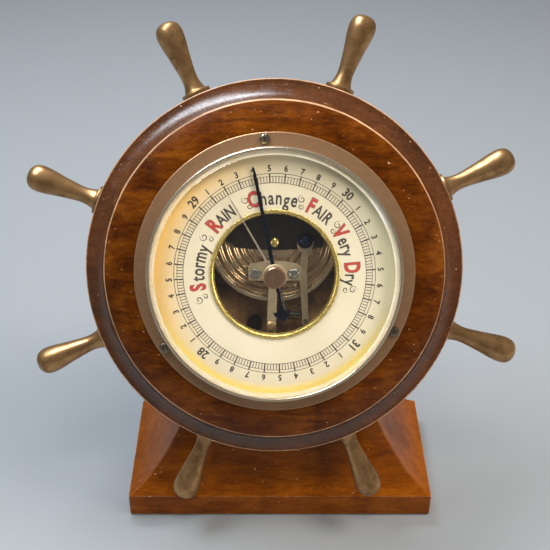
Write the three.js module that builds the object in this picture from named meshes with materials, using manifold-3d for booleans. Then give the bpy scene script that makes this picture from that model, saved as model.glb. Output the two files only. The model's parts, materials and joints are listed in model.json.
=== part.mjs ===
// Ship barometer: an aneroid barometer let into a turned mahogany ship's wheel with
// eight brass handles, standing on a mahogany base with coved sides.
// Millimetres, +Z up, the dial faces -Y, the origin is the middle of the underside.

import * as THREE from 'three';
import { mergeVertices } from 'three/addons/utils/BufferGeometryUtils.js';
import Module from 'manifold-3d';

const wasm = await Module();
wasm.setup();

// ---------------------------------------------------------------- driving dimensions

const FIT = 0.3;                  // clearance left between neighbouring pieces
const SEGMENTS = { large: 48, medium: 40, small: 14 };   // sides given to round bodies

const BASE = { width: 128, depth: 61, plinth: 11.4, height: 64 };
const BAIZE = { thickness: 0.5, inset: 2.5 };
const COVE = { rise: 0.58, curve: 0.032, frontRatio: 0.55, steps: 9 };

const LEAN = 25.7;                 // degrees the wheel leans back from upright
const BACK_CENTRE = [-2.7, 11, 102.5];   // middle of the wheel's back face, a little left of the stand's
const CLOCK = 1.6;                // degrees the wheel is turned to the left on its stand

const WHEEL = { radius: 73, edge: 20, stepRadius: 65, step: 26.3, seatRadius: 53.8, seat: 29.5 };
const BORE = 46.2;                // hole through the wheel for the instrument case
const HANDLE = { count: 8, level: 8.4, length: 30.2, flange: 5.7, neck: 3.1, ball: 5.25, stud: 1.5, studLength: 9.7 };
// How far each handle stands from even spacing, degrees clockwise, from the one right of the top.
const HANDLE_DRIFT = [-0.9, -0.7, -0.6, 0.9, 0.6, 1.0, -0.4, -0.2];
const STAND_SCREW = { u: 24, v: -54, seat: -22, head: 4, shank: 2, tip: 11 };

const CASE = { radius: 45.8, wall: 0.8, floor: 2.0 };
const FLANGE = { outer: 53.2, inner: 43.3, bottom: 29.8, top: 30.6, collar: 47.1, collarTop: 33.2 };
const FLANGE_SCREW = { count: 3, radius: 50.6, clock: 4.2, head: 1.95, shank: 1.0, depth: 7 };
const BEZEL = { outer: 48, wall: 0.6, bottom: 30.9, top: 37.9, lipInner: 46.6, lip: 0.6 };
const GLASS = { radius: 47.1, flat: 44.6, bottom: 34.4, edge: 35.2, top: 37.0 };
const DIAL = { radius: 45.7, aperture: 23.7, bottom: 30.9, top: 31.5 };
const APERTURE_RING = { outer: 24.6, inner: 23.3, bottom: 30.1, top: 32.1 };

const KNOB = { radius: 4.1, bottom: 38.2, top: 41.6, stem: 1.1 };
const POINTER = { level: 32.4, thickness: 0.4, length: 41, tail: 18.2, clock: 11.2 };
const SET_HAND = { level: 33.4, thickness: 0.4, length: 36, clock: 30 };

const CAPSULE = { v: 11.5, radius: 26.4, bottom: 8, seam: 11.2, top: 14.4, sheet: 0.4, flat: 8.8, waves: 6, wave: 0.75 };
const PLATE = { radius: 43.6, bottom: 3.1, top: 4.6 };
const SPRING = { hinge: 40.2, width: 38, lower: 8.6, bottom: 15.7, top: 16.5 };
const LEVER = { u: 12.4, from: 11.6, to: -22.4, width: 2.5, bottom: 16.8, top: 17.6 };
const ROCKER = { v: -19.4, level: 12.6, radius: 0.8, from: 2.6, to: 14.4, arm: 7.2 };
const BRIDGE = { screw: 8.1, bottom: 21.9, top: 23.1, cockBottom: 15.4, cockTop: 16.2, postV: -21.6 };

// ---------------------------------------------------------------- materials

function material(color, metalness, roughness) {
  return new THREE.MeshStandardMaterial({ color, metalness, roughness });
}

const MATERIALS = {
  mahogany: () => material(0x6b3418, 0, 0.35),
  brass: () => material(0xb8934f, 1, 0.35),
  bronze: () => material(0x8a6b4c, 1, 0.45),
  blued: () => material(0x23304d, 1, 0.3),
  steel: () => material(0x9aa0a4, 1, 0.35),
  black: () => material(0x201c19, 0.6, 0.5),
  enamel: () => material(0xe8dcb4, 0, 0.4),
  baize: () => material(0x2f4a33, 0, 0.95),
  glass: () => new THREE.MeshStandardMaterial({ color: 0xf4f8f6, roughness: 0.05, transparent: true, opacity: 0.25 }),
};

// ---------------------------------------------------------------- solids

// A closed solid made from a geometry, with its faces pointing outwards.
function solid(geometry) {
  const bare = new THREE.BufferGeometry();
  bare.setAttribute('position', geometry.getAttribute('position'));
  bare.setIndex(geometry.getIndex());
  const merged = mergeVertices(bare, 1e-4);
  const vertices = new Float32Array(merged.getAttribute('position').array);
  const corner = (i) => new THREE.Vector3(vertices[3 * i], vertices[3 * i + 1], vertices[3 * i + 2]);
  const faces = [];
  let volume = 0;
  const index = merged.getIndex().array;
  for (let i = 0; i < index.length; i += 3) {
    const [a, b, c] = [index[i], index[i + 1], index[i + 2]];
    if (a === b || b === c || c === a) continue;
    faces.push([a, b, c]);
    volume += corner(a).dot(corner(b).cross(corner(c)));
  }
  const triangles = faces.flatMap(([a, b, c]) => (volume < 0 ? [a, c, b] : [a, b, c]));
  return new wasm.Manifold(new wasm.Mesh({
    numProp: 3,
    vertProperties: vertices,
    triVerts: new Uint32Array(triangles),
  }));
}

// A body turned about +Z from a closed profile of [radius, height] points.
function turned(profile, segments) {
  const points = profile.map(([radius, height]) => new THREE.Vector2(radius, height));
  if (profile[0][0] > 0) points.push(points[0].clone());
  return new THREE.LatheGeometry(points, segments).rotateX(Math.PI / 2);
}

// A round bar along +Z between two heights.
function bar(radius, from, to, segments = SEGMENTS.small) {
  return turned([[0, from], [radius, from], [radius, to], [0, to]], segments);
}

// A ring along +Z between two heights.
function ring(inner, outer, from, to, segments = SEGMENTS.large) {
  return turned([[inner, from], [outer, from], [outer, to], [inner, to]], segments);
}

// A rectangular block from its lower and upper corners.
function block(low, high) {
  const size = high.map((value, axis) => value - low[axis]);
  const middle = high.map((value, axis) => (value + low[axis]) / 2);
  return new THREE.BoxGeometry(...size).translate(...middle);
}

// A flat plate along +Z cut to an outline of [x, y] points.
function plate(outline, from, to) {
  const shape = new THREE.Shape(outline.map(([x, y]) => new THREE.Vector2(x, y)));
  return new THREE.ExtrudeGeometry(shape, { depth: to - from, bevelEnabled: false }).translate(0, 0, from);
}

// A solid moved to a place in the wheel's own plane: u to the right, v up, w forward.
function at(geometry, u, v, w = 0) {
  return geometry.clone().translate(u, v, w);
}

// A point at a clock angle, in degrees clockwise from the top.
function clockPoint(angle, radius) {
  const turn = THREE.MathUtils.degToRad(angle);
  return [radius * Math.sin(turn), radius * Math.cos(turn)];
}

function cut(body, ...tools) {
  return tools.reduce((result, tool) => result.subtract(solid(tool)), body);
}

function join(body, ...pieces) {
  return pieces.reduce((result, piece) => result.add(solid(piece)), body);
}

function addMesh(group, name, body, finish) {
  const data = body.getMesh();
  const geometry = new THREE.BufferGeometry();
  geometry.setAttribute('position', new THREE.BufferAttribute(new Float32Array(data.vertProperties), 3));
  geometry.setIndex(new THREE.BufferAttribute(new Uint32Array(data.triVerts), 1));
  geometry.computeVertexNormals();
  const mesh = new THREE.Mesh(geometry, MATERIALS[finish]());
  mesh.name = name;
  group.add(mesh);
}

// ---------------------------------------------------------------- groups

const barometer = new THREE.Group();
barometer.name = 'ship_barometer';

const wheelGroup = new THREE.Group();
wheelGroup.name = 'wheel_group';
wheelGroup.position.set(...BACK_CENTRE);
wheelGroup.rotation.x = THREE.MathUtils.degToRad(90 - LEAN);
wheelGroup.updateMatrix();
barometer.add(wheelGroup);

const inStandFrame = (geometry) => geometry.clone().applyMatrix4(wheelGroup.matrix);

// ---------------------------------------------------------------- stand

// Height of the cove above the plinth at a given setback from the side.
function coveHeight(setback) {
  return BASE.plinth + COVE.rise * setback + COVE.curve * setback * setback;
}

// Setback at which the cove reaches the top of the stand.
const COVE_END = (-COVE.rise + Math.sqrt(COVE.rise ** 2
  + 4 * COVE.curve * (BASE.height - BASE.plinth))) / (2 * COVE.curve);

// Outline of the block seen square on, half its width across and its setbacks scaled.
function standOutline(halfWidth, ratio) {
  const right = [];
  for (let i = 0; i <= COVE.steps; i += 1) {
    const setback = (COVE_END * i) / COVE.steps;
    right.push([halfWidth - ratio * setback, coveHeight(setback)]);
  }
  const left = right.map(([across, height]) => [-across, height]).reverse();
  return [[-halfWidth, BAIZE.thickness + FIT / 3], [halfWidth, BAIZE.thickness + FIT / 3], ...right, ...left];
}

function standBlock() {
  const reach = 100;
  const across = plate(standOutline(BASE.width / 2, 1), -reach, reach).rotateX(Math.PI / 2);
  const along = plate(standOutline(BASE.depth / 2, COVE.frontRatio), -reach, reach)
    .rotateX(Math.PI / 2).rotateZ(Math.PI / 2);
  const block0 = solid(across).intersect(solid(along));
  const saddle = block([-90, -78, -FIT], [90, 60, 70]);
  const holes = [-1, 1].flatMap((side) => [
    at(bar(STAND_SCREW.shank + FIT, STAND_SCREW.seat - 1, 5), side * STAND_SCREW.u, STAND_SCREW.v),
    at(bar(STAND_SCREW.head + 0.6, -60, STAND_SCREW.seat), side * STAND_SCREW.u, STAND_SCREW.v),
  ]);
  return cut(block0, ...[saddle, ...holes].map(inStandFrame));
}

function slottedScrew(head, shank, seat, headHeight, tip, slot = 0.35) {
  const body = solid(turned([
    [0, tip], [shank, tip + 0.8], [shank, seat], [head, seat],
    [head, seat + headHeight * 0.55], [head * 0.72, seat + headHeight], [0, seat + headHeight],
  ], 16));
  const top = seat + headHeight;
  return cut(body, block([-head - 1, -slot, top - headHeight * 0.4], [head + 1, slot, top + 1]));
}

addMesh(barometer, 'stand_block', standBlock(), 'mahogany');
addMesh(barometer, 'stand_baize', solid(block(
  [-BASE.width / 2 + BAIZE.inset, -BASE.depth / 2 + BAIZE.inset, 0],
  [BASE.width / 2 - BAIZE.inset, BASE.depth / 2 - BAIZE.inset, BAIZE.thickness],
)), 'baize');

['l', 'r'].forEach((side, i) => {
  const screw = slottedScrew(STAND_SCREW.head, STAND_SCREW.shank, 0, 2.6,
    STAND_SCREW.seat - STAND_SCREW.tip + FIT);
  const turnedRound = screw.rotate([180, 0, 0]);
  const placed = turnedRound.translate([(2 * i - 1) * STAND_SCREW.u, STAND_SCREW.v, STAND_SCREW.seat - FIT]);
  addMesh(wheelGroup, `stand_screw_${side}`, placed, 'brass');
});

// ---------------------------------------------------------------- wheel

const handleAngles = HANDLE_DRIFT.map((drift, k) => 22.5 + (360 / HANDLE.count) * k - CLOCK + drift);
const flangeScrewAngles = Array.from({ length: FLANGE_SCREW.count }, (_, k) => 120 * k - FLANGE_SCREW.clock);

// A geometry made along +Z, laid to point outwards in the wheel's plane.
function radial(geometry, angle, radius, level) {
  const [u, v] = clockPoint(angle, radius);
  return geometry.clone()
    .rotateX(-Math.PI / 2)
    .rotateZ(-THREE.MathUtils.degToRad(angle))
    .translate(u, v, level);
}

function wheelBoard() {
  const { radius, edge, stepRadius, step, seatRadius, seat } = WHEEL;
  const board = solid(turned([
    [BORE, 0], [radius - 1.5, 0], [radius, 1.5], [radius, edge - 0.4], [radius - 0.4, edge],
    [radius - 2.3, edge + 0.35], [radius - 4.2, edge + 1.2], [radius - 5.9, edge + 2.5],
    [stepRadius + 1.0, edge + 3.9], [stepRadius + 0.3, edge + 5.3], [stepRadius, step],
    [stepRadius - 4.5, step + 1.7], [seatRadius + 1.5, seat - 0.15], [seatRadius, seat], [BORE, seat],
  ], SEGMENTS.large));
  const studs = handleAngles.map((angle) => radial(
    bar(HANDLE.stud + FIT, -HANDLE.studLength - 1, 4, 10), angle, radius, HANDLE.level,
  ));
  const standHoles = [-1, 1].map((side) => at(
    bar(STAND_SCREW.shank + FIT, -2, STAND_SCREW.tip + 1, 10), side * STAND_SCREW.u, STAND_SCREW.v,
  ));
  const flangeHoles = flangeScrewAngles.map((angle) => at(
    bar(FLANGE_SCREW.shank + FIT, seat - FLANGE_SCREW.depth - 1, seat + 1, 10),
    ...clockPoint(angle, FLANGE_SCREW.radius),
  ));
  return cut(board, ...studs, ...standHoles, ...flangeHoles);
}

addMesh(wheelGroup, 'wheel_board', wheelBoard(), 'mahogany');

const handleShape = turned([
  [0, -HANDLE.studLength], [HANDLE.stud, -HANDLE.studLength], [HANDLE.stud, FIT],
  [HANDLE.flange, FIT], [HANDLE.flange, 1.7], [HANDLE.flange * 0.72, 2.1],
  [HANDLE.neck * 1.14, 3.6], [HANDLE.neck, 6.5], [HANDLE.neck * 1.16, 12.0], [HANDLE.ball * 0.83, 18.0],
  [HANDLE.ball, 24.6], [HANDLE.ball * 0.9, 28.0], [HANDLE.ball * 0.5, HANDLE.length - 0.5], [0, HANDLE.length],
], SEGMENTS.small);
handleAngles.forEach((angle, k) => {
  addMesh(wheelGroup, `handle_${k + 1}`, solid(radial(handleShape, angle, WHEEL.radius, HANDLE.level)), 'brass');
});

// ---------------------------------------------------------------- case, bezel and glass

function casePan() {
  const { radius, wall, floor } = CASE;
  const rim = FLANGE.bottom - FIT;
  const pan = solid(turned([
    [0, floor], [radius - 1.5, floor], [radius, floor + 1.5], [radius, rim],
    [radius - wall, rim], [radius - wall, floor + wall + 1], [radius - wall - 1, floor + wall], [0, floor + wall],
  ], SEGMENTS.medium));
  return cut(pan, at(bar(2.4, floor - 1, floor + 3), 0, CAPSULE.v));
}

function caseFlange() {
  const { outer, inner, bottom, top, collar, collarTop } = FLANGE;
  const sleeve = CASE.radius - CASE.wall - FIT;
  const flange = solid(turned([
    [inner, bottom], [sleeve - 0.6, bottom], [sleeve - 0.6, bottom - 4], [sleeve, bottom - 4], [sleeve, bottom],
    [outer, bottom], [outer, top], [collar, top], [collar, collarTop], [collar - 0.6, collarTop],
    [collar - 0.6, top], [inner, top],
  ], SEGMENTS.large));
  return cut(flange, ...flangeScrewAngles.map((angle) => at(
    bar(FLANGE_SCREW.shank + FIT, bottom - 1, top + 1, 12), ...clockPoint(angle, FLANGE_SCREW.radius),
  )));
}

addMesh(wheelGroup, 'case_pan', casePan(), 'steel');
addMesh(wheelGroup, 'case_flange', caseFlange(), 'bronze');

flangeScrewAngles.forEach((angle, k) => {
  const screw = slottedScrew(FLANGE_SCREW.head, FLANGE_SCREW.shank, FLANGE.top + FIT, 1.1,
    WHEEL.seat - FLANGE_SCREW.depth);
  const [u, v] = clockPoint(angle, FLANGE_SCREW.radius);
  addMesh(wheelGroup, `bezel_screw_${k + 1}`, screw.rotate([0, 0, 90 + 8 * k]).translate([u, v, 0]), 'bronze');
});

addMesh(wheelGroup, 'bezel_ring', solid(turned([
  [BEZEL.outer - BEZEL.wall, BEZEL.bottom], [BEZEL.outer, BEZEL.bottom], [BEZEL.outer, BEZEL.top - 0.9],
  [BEZEL.outer - 0.7, BEZEL.top], [BEZEL.lipInner, BEZEL.top - 0.2], [BEZEL.lipInner, BEZEL.top - BEZEL.lip],
  [BEZEL.outer - BEZEL.wall, BEZEL.top - BEZEL.lip],
], SEGMENTS.large)), 'brass');

function glass() {
  const disc = solid(turned([
    [0, GLASS.bottom], [GLASS.radius, GLASS.bottom], [GLASS.radius, GLASS.edge],
    [GLASS.flat, GLASS.top], [0, GLASS.top],
  ], SEGMENTS.large));
  return cut(disc, bar(KNOB.stem + FIT, GLASS.bottom - 1, GLASS.top + 1));
}

addMesh(wheelGroup, 'glass', glass(), 'glass');
addMesh(wheelGroup, 'glass_clip', solid(turned([
  [GLASS.radius - 0.9, 33.6], [GLASS.radius, 33.6], [GLASS.radius, 34.1], [GLASS.radius - 0.9, 34.1],
], SEGMENTS.medium)), 'brass');

// ---------------------------------------------------------------- dial

const dialFeet = [105, 180, 255].map((angle) => clockPoint(angle, 37));

addMesh(wheelGroup, 'dial', solid(ring(DIAL.aperture, DIAL.radius, DIAL.bottom, DIAL.top)), 'enamel');
addMesh(wheelGroup, 'aperture_ring', solid(turned([
  [APERTURE_RING.inner - 0.6, APERTURE_RING.bottom], [DIAL.aperture - FIT, APERTURE_RING.bottom],
  [DIAL.aperture - FIT, DIAL.top + FIT], [APERTURE_RING.outer, DIAL.top + FIT],
  [APERTURE_RING.outer - 0.2, APERTURE_RING.top], [APERTURE_RING.inner - 0.3, APERTURE_RING.top],
], SEGMENTS.medium)), 'brass');

dialFeet.forEach(([u, v], k) => {
  addMesh(wheelGroup, `dial_foot_${k + 1}`, solid(at(bar(1.5, PLATE.top + FIT, DIAL.bottom - FIT, 12), u, v)), 'brass');
});

// ---------------------------------------------------------------- setting hand and pointer

addMesh(wheelGroup, 'set_bush', solid(ring(KNOB.stem + FIT, KNOB.radius + 0.5, GLASS.top + FIT, KNOB.bottom - FIT, 28)),
  'brass');

const stemEnd = SET_HAND.level + SET_HAND.thickness + FIT;
addMesh(wheelGroup, 'set_knob', solid(turned([
  [0, stemEnd], [KNOB.stem, stemEnd], [KNOB.stem, KNOB.bottom], [KNOB.radius - 0.4, KNOB.bottom],
  [KNOB.radius, KNOB.bottom + 0.5], [KNOB.radius, KNOB.top - 0.7], [KNOB.radius - 0.8, KNOB.top],
  [0, KNOB.top - 0.3],
], 32)), 'bronze');

// A flat hand pointing up, turned to a clock angle, on a round boss.
function hand(outline, boss, hole, level, thickness, angle) {
  const blade = solid(plate(outline, level, level + thickness));
  const whole = join(blade, bar(boss, level, level + thickness, 20));
  const pierced = hole > 0 ? cut(whole, bar(hole, level - 1, level + thickness + 1, 12)) : whole;
  return pierced.rotate([0, 0, -angle]);
}

const setBlade = [
  [-0.65, -2], [0.65, -2], [0.35, SET_HAND.length * 0.7], [0.9, SET_HAND.length * 0.86],
  [0, SET_HAND.length], [-0.9, SET_HAND.length * 0.86], [-0.35, SET_HAND.length * 0.7],
];
addMesh(wheelGroup, 'set_hand', hand(setBlade, 1.9, 0, SET_HAND.level, SET_HAND.thickness, -SET_HAND.clock), 'brass');

const crescent = [];
for (let i = 0; i <= 8; i += 1) {
  const turn = THREE.MathUtils.degToRad(-150 + 15 * i);
  crescent.push([3.6 * Math.cos(turn), -POINTER.tail + 1.2 + 3.6 * Math.sin(turn)]);
}
const pointerBlade = [
  [0.75, 0], [0.45, POINTER.length * 0.8], [0, POINTER.length], [-0.45, POINTER.length * 0.8],
  [-0.75, 0], [-0.5, -POINTER.tail + 3.4], ...crescent, [0.5, -POINTER.tail + 3.4],
];
addMesh(wheelGroup, 'pointer',
  hand(pointerBlade, 2.1, 0.9, POINTER.level, POINTER.thickness, -POINTER.clock), 'blued');

// ---------------------------------------------------------------- movement

const plateScrews = [[-8.2, -24.5], [30, -14], [-30, -14]];
const postFoot = [-1.2, BRIDGE.postV];

function basePlate() {
  return cut(solid(bar(PLATE.radius, PLATE.bottom, PLATE.top, SEGMENTS.medium)),
    at(bar(2.0, PLATE.bottom - 1, PLATE.top + 1), 0, CAPSULE.v),
    ...plateScrews.map(([u, v]) => at(bar(1.3, PLATE.bottom - 1, PLATE.top + 1, 10), u, v)));
}

addMesh(wheelGroup, 'base_plate', basePlate(), 'black');
plateScrews.forEach(([u, v], k) => {
  const screw = slottedScrew(3.3, 1.0, PLATE.top + FIT, 2.6, PLATE.bottom);
  addMesh(wheelGroup, `plate_screw_${k + 1}`, screw.rotate([0, 0, 25 + 50 * k]).translate([u, v, 0]), 'black');
});

// The two pressed halves of the vacuum capsule.
function diaphragm(seam, face, corrugated) {
  const steps = corrugated ? CAPSULE.waves * 2 : 2;
  const from = CAPSULE.flat;
  const to = CAPSULE.radius - 1.5;
  const inward = Math.sign(seam - face);
  const outside = [[0, face]];
  for (let i = 0; i <= steps; i += 1) {
    const wave = corrugated && i % 2 === 1 ? CAPSULE.wave * inward : 0;
    outside.push([from + ((to - from) * i) / steps, face + wave]);
  }
  outside.push([CAPSULE.radius, seam - 0.3 * inward]);
  const inside = outside.map(([radius, height]) => [radius, height + CAPSULE.sheet * inward]).reverse();
  inside[inside.length - 1] = [0, face + CAPSULE.sheet * inward];
  return turned([...outside, ...inside], 28);
}

addMesh(wheelGroup, 'capsule_lower',
  solid(at(diaphragm(CAPSULE.seam - 0.9, CAPSULE.bottom, false), 0, CAPSULE.v)), 'brass');
addMesh(wheelGroup, 'capsule_upper',
  solid(at(diaphragm(CAPSULE.seam, CAPSULE.top, true), 0, CAPSULE.v)), 'brass');
addMesh(wheelGroup, 'capsule_stud', solid(at(turned([
  [0, CAPSULE.top + FIT], [2.6, CAPSULE.top + FIT], [2.6, SPRING.bottom - FIT], [1.2, SPRING.bottom - FIT],
  [1.2, SPRING.top + FIT], [1.8, SPRING.top + FIT], [1.8, SPRING.top + 2.0], [0, SPRING.top + 2.4],
], 20), 0, CAPSULE.v)), 'brass');
addMesh(wheelGroup, 'adjust_screw', cut(
  solid(at(bar(1.6, CASE.floor - 0.8, CAPSULE.bottom - FIT), 0, CAPSULE.v)),
  at(block([-3, -0.3, CASE.floor - 2], [3, 0.3, CASE.floor + 0.2]), 0, CAPSULE.v),
), 'brass');

function springBracket() {
  const foot = block([-12, SPRING.hinge - 2, PLATE.top + FIT], [12, SPRING.hinge + 2, SPRING.bottom - FIT]);
  return cut(solid(foot), at(bar(1.3, SPRING.bottom - 6, SPRING.bottom + 1, 10), 0, SPRING.hinge));
}

function mainSpring() {
  const half = SPRING.width / 2;
  const outline = [
    [-half + 4, SPRING.lower], [half, SPRING.lower], [half + 1, 24], [12, SPRING.hinge + 2],
    [-12, SPRING.hinge + 2], [-half - 1, 24], [-half, SPRING.lower + 3],
  ];
  return cut(solid(plate(outline, SPRING.bottom, SPRING.top)),
    at(bar(1.5, SPRING.bottom - 1, SPRING.top + 1, 12), 0, CAPSULE.v),
    at(bar(1.3, SPRING.bottom - 1, SPRING.top + 1, 10), 0, SPRING.hinge),
    at(bar(1.3, SPRING.bottom - 1, SPRING.top + 1, 10), LEVER.u, LEVER.from));
}

addMesh(wheelGroup, 'spring_bracket', springBracket(), 'steel');
addMesh(wheelGroup, 'main_spring', mainSpring(), 'black');
addMesh(wheelGroup, 'spring_screw',
  slottedScrew(2.4, 1.0, SPRING.top + FIT, 1.4, SPRING.bottom - 4).translate([0, SPRING.hinge, 0]), 'steel');

function leverArm() {
  const half = LEVER.width / 2;
  const strip = block([LEVER.u - half, LEVER.to, LEVER.bottom], [LEVER.u + half, LEVER.from, LEVER.top]);
  const head = at(bar(3.2, LEVER.bottom, LEVER.top, 20), LEVER.u, LEVER.from - 1.2);
  return cut(join(solid(strip), head),
    at(bar(1.3, LEVER.bottom - 1, LEVER.top + 1, 10), LEVER.u, LEVER.from),
    at(bar(0.75, LEVER.bottom - 1, LEVER.top + 1, 8), LEVER.u, LEVER.to + 1.5));
}

addMesh(wheelGroup, 'lever_arm', leverArm(), 'brass');
addMesh(wheelGroup, 'lever_screw', solid(at(turned([
  [0, SPRING.bottom + 0.1], [1.0, SPRING.bottom + 0.1], [1.0, LEVER.top + FIT], [2.9, LEVER.top + FIT],
  [2.9, LEVER.top + 1.1], [2.0, LEVER.top + 2.0], [0, LEVER.top + 2.4],
], 20), LEVER.u, LEVER.from)), 'blued');

const linkV = LEVER.to + 1.5;
addMesh(wheelGroup, 'link_rod', solid(at(turned([
  [0, ROCKER.level + 1.0], [0.45, ROCKER.level + 1.0], [0.45, LEVER.top + FIT], [0.95, LEVER.top + FIT],
  [0.95, LEVER.top + 1.1], [0, LEVER.top + 1.1],
], 10), LEVER.u, linkV)), 'steel');

// The rocking shaft, its short input arm under the link and its tall output arm.
function rockerShaft() {
  const shaft = bar(ROCKER.radius, ROCKER.from, ROCKER.to, 12).rotateY(Math.PI / 2)
    .translate(0, ROCKER.v, ROCKER.level);
  const input = block([LEVER.u - 0.7, linkV - 0.8, ROCKER.level - 0.5], [LEVER.u + 0.7, ROCKER.v, ROCKER.level + 0.5]);
  const output = block([4.2, ROCKER.v - 0.5, ROCKER.level], [5.4, ROCKER.v + 0.5, ROCKER.level + ROCKER.arm]);
  return join(solid(shaft), input, output);
}

// A folded bracket with an ear at each end of the rocking shaft.
function rockerBracket() {
  const low = PLATE.top + FIT;
  const top = ROCKER.level + 2;
  const from = ROCKER.from - 0.2;
  const to = ROCKER.to + 0.2;
  const floor = block([from, ROCKER.v - 3, low], [to, ROCKER.v + 1.5, low + 1]);
  const ears = [
    block([from, ROCKER.v - 2, low], [from + 1, ROCKER.v + 1.5, top]),
    block([to - 1, ROCKER.v - 2, low], [to, ROCKER.v + 1.5, top]),
  ];
  const bearing = bar(ROCKER.radius + FIT, from - 1, to + 1, 12).rotateY(Math.PI / 2)
    .translate(0, ROCKER.v, ROCKER.level);
  return cut(join(solid(floor), ...ears), bearing);
}

addMesh(wheelGroup, 'rocker_shaft', rockerShaft(), 'steel');
addMesh(wheelGroup, 'rocker_bracket', rockerBracket(), 'brass');

addMesh(wheelGroup, 'arbor', solid(turned([
  [0, BRIDGE.cockBottom - 0.4], [0.6, BRIDGE.cockBottom - 0.4], [0.6, 18.2], [0.8, 18.2], [0.8, 20.2],
  [0.6, 20.2], [0.6, POINTER.level + 0.6], [0, POINTER.level + 0.6],
], 12)), 'steel');

const chainLevel = ROCKER.level + ROCKER.arm - 0.6;
const chainFrom = new THREE.Vector3(4.6, ROCKER.v + 1.1, chainLevel);
const chainTo = new THREE.Vector3(1.9, -3.2, chainLevel);
const chainPath = new THREE.LineCurve3(chainFrom, chainTo);
const chainSection = new THREE.Shape([[-0.25, -0.25], [0.25, -0.25], [0.25, 0.25], [-0.25, 0.25]]
  .map(([x, y]) => new THREE.Vector2(x, y)));
addMesh(wheelGroup, 'chain', solid(new THREE.ExtrudeGeometry(chainSection, {
  extrudePath: chainPath, steps: 1, bevelEnabled: false,
})), 'steel');

// The hairspring, a flat coil of three turns round the arbor.
const coil = [];
for (let i = 0; i <= 42; i += 1) {
  const turn = (Math.PI * 2 * i) / 14;
  const radius = 1.3 + 0.95 * (turn / (Math.PI * 2));
  coil.push(new THREE.Vector3(radius * Math.cos(turn), radius * Math.sin(turn), 17.3));
}
const coilSection = new THREE.Shape([[-0.25, -0.12], [0.25, -0.12], [0.25, 0.12], [-0.25, 0.12]]
  .map(([x, y]) => new THREE.Vector2(x, y)));
addMesh(wheelGroup, 'hairspring', solid(new THREE.ExtrudeGeometry(coilSection, {
  extrudePath: new THREE.CatmullRomCurve3(coil), steps: 48, bevelEnabled: false,
})), 'blued');

function arborCock() {
  const outline = [[-10.8, -3.4], [10.8, -3.4], [10.8, 2.6], [4, 4.6], [-4, 4.6], [-10.8, 2.6]];
  return cut(solid(plate(outline, BRIDGE.cockBottom, BRIDGE.cockTop)),
    bar(0.9, BRIDGE.cockBottom - 1, BRIDGE.cockTop + 1, 10),
    ...[-1, 1].map((side) => at(bar(1.3, BRIDGE.cockBottom - 1, BRIDGE.cockTop + 1, 10), side * BRIDGE.screw, -0.6)));
}

function bridgePlate() {
  const outline = [
    [-3, BRIDGE.postV - 2.4], [0.6, BRIDGE.postV - 2.4], [1.0, -8], [4.5, -4], [10.8, -3.6], [10.8, 2.4],
    [4, 4.8], [-4, 4.8], [-10.8, 2.4], [-10.8, -3.6], [-4.5, -4], [-2.6, -8],
  ];
  return cut(solid(plate(outline, BRIDGE.bottom, BRIDGE.top)),
    bar(0.9, BRIDGE.bottom - 1, BRIDGE.top + 1, 10),
    at(bar(1.3, BRIDGE.bottom - 1, BRIDGE.top + 1, 10), ...postFoot),
    ...[-1, 1].map((side) => at(bar(1.3, BRIDGE.bottom - 1, BRIDGE.top + 1, 10), side * BRIDGE.screw, -0.6)));
}

addMesh(wheelGroup, 'arbor_cock', arborCock(), 'brass');
addMesh(wheelGroup, 'bridge_plate', bridgePlate(), 'bronze');

['l', 'r'].forEach((side, i) => {
  const screw = solid(turned([
    [0, BRIDGE.cockBottom], [1.0, BRIDGE.cockBottom], [1.0, BRIDGE.cockTop + FIT], [1.7, BRIDGE.cockTop + FIT],
    [1.7, BRIDGE.bottom - FIT], [1.0, BRIDGE.bottom - FIT], [1.0, BRIDGE.top + FIT], [2.1, BRIDGE.top + FIT],
    [2.1, BRIDGE.top + 1.1], [1.4, BRIDGE.top + 1.6], [0, BRIDGE.top + 1.6],
  ], 18));
  const slotted = cut(screw, block([-3, -0.3, BRIDGE.top + 1.1], [3, 0.3, BRIDGE.top + 3]));
  addMesh(wheelGroup, `bridge_screw_${side}`,
    slotted.rotate([0, 0, 40 + 70 * i]).translate([(2 * i - 1) * BRIDGE.screw, -0.6, 0]), 'steel');
});

addMesh(wheelGroup, 'bridge_post', cut(
  solid(at(bar(1.8, PLATE.top + FIT, BRIDGE.bottom - FIT, 14), ...postFoot)),
  at(bar(1.3, BRIDGE.bottom - 5, BRIDGE.bottom + 1, 10), ...postFoot),
), 'brass');
addMesh(wheelGroup, 'bridge_post_screw',
  slottedScrew(1.9, 1.0, BRIDGE.top + FIT, 1.2, BRIDGE.bottom - 4).rotate([0, 0, 30]).translate([...postFoot, 0]), 'brass');

export default barometer;
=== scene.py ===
import json
import math

import bmesh
import bpy
from mathutils import Matrix, Vector


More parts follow.
